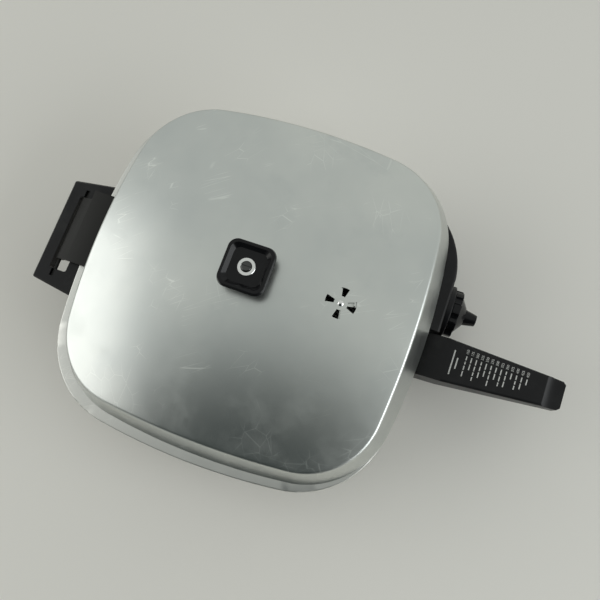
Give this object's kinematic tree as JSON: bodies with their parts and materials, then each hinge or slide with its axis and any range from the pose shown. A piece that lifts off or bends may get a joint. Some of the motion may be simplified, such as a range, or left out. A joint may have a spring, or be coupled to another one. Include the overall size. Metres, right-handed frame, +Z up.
{
  "type": "electric skillet",
  "caption": "Square cast electric skillet with a tilting domed lid, turning lid vent, heat control dial, long handle and looped helper handle.",
  "frame": {"origin": "on the table under the middle of the whole skillet, handles and dial included", "axes": "+X along the main handle away from the pan, +Z up, +Y towards the control"},
  "size_m": [0.46, 0.308, 0.1328],
  "materials": {
    "cast_pan": "machined and washed cast aluminium",
    "lid_aluminium": "satin drawn aluminium, worn",
    "element_sheath": "heat-darkened steel sheath",
    "plated_steel": "dull zinc-plated steel",
    "bright_trim": "bright polished metal",
    "brass_fitting": "turned brass",
    "ceramic_block": "unglazed electrical ceramic",
    "black_moulding": "black phenolic, half gloss, worn",
    "black_gloss": "black phenolic, polished",
    "plate_enamel": "baked matt black on steel"
  },
  "bodies": {
    "base": {"pan": "cast_pan", "heating_element": "element_sheath", "foot_back_left": "black_moulding", "foot_front_left": "black_moulding", "foot_back_right": "black_moulding", "foot_front_right": "black_moulding", "foot_screws": "plated_steel", "main_handle": "black_moulding", "handle_bracket": "plated_steel", "bracket_screws": "plated_steel", "handle_screw": "plated_steel", "helper_handle": "black_moulding", "helper_screws": "plated_steel", "control_housing": "black_moulding", "housing_cover": "black_moulding", "housing_screws": "plated_steel", "cover_screws": "plated_steel", "shaft_bush": "brass_fitting", "bush_nut": "brass_fitting", "thermostat_carrier": "plated_steel", "blade_stack": "ceramic_block", "cam_blade": "brass_fitting", "contact_blade": "brass_fitting", "inlet_shroud": "black_moulding", "inlet_pins": "plated_steel"},
    "lid": {"lid_shell": "lid_aluminium", "lid_knob": "black_gloss", "knob_ring": "bright_trim", "knob_screw": "bright_trim", "knob_washer": "plated_steel", "knob_nut": "plated_steel", "vent_rivet": "bright_trim", "vent_spring": "plated_steel", "hinge_plate": "plate_enamel", "plate_rivets": "lid_aluminium", "hinge_pin": "plated_steel"},
    "vent": {"vent_shutter": "lid_aluminium"},
    "control": {"control_dial": "black_gloss", "dial_shaft": "plated_steel", "cam": "plated_steel"}
  },
  "joints": [
    {"name": "lid_tilt", "type": "hinge", "parent": "base", "child": "lid", "pos_m": [-0.2135, -0.005, 0.0676], "axis": [0, -1, 0], "range_deg": [0, 78]},
    {"name": "vent_turn", "type": "hinge", "parent": "lid", "child": "vent", "pos_m": [0.0427, 0.004, 0.11309], "axis": [0.1233, 0, 0.9924], "range_deg": [-26, 2]},
    {"name": "dial_turn", "type": "hinge", "parent": "base", "child": "control", "pos_m": [0.1315, 0.042, 0.0385], "axis": [-1, 0, 0], "range_deg": [0, 300]}
  ]
}
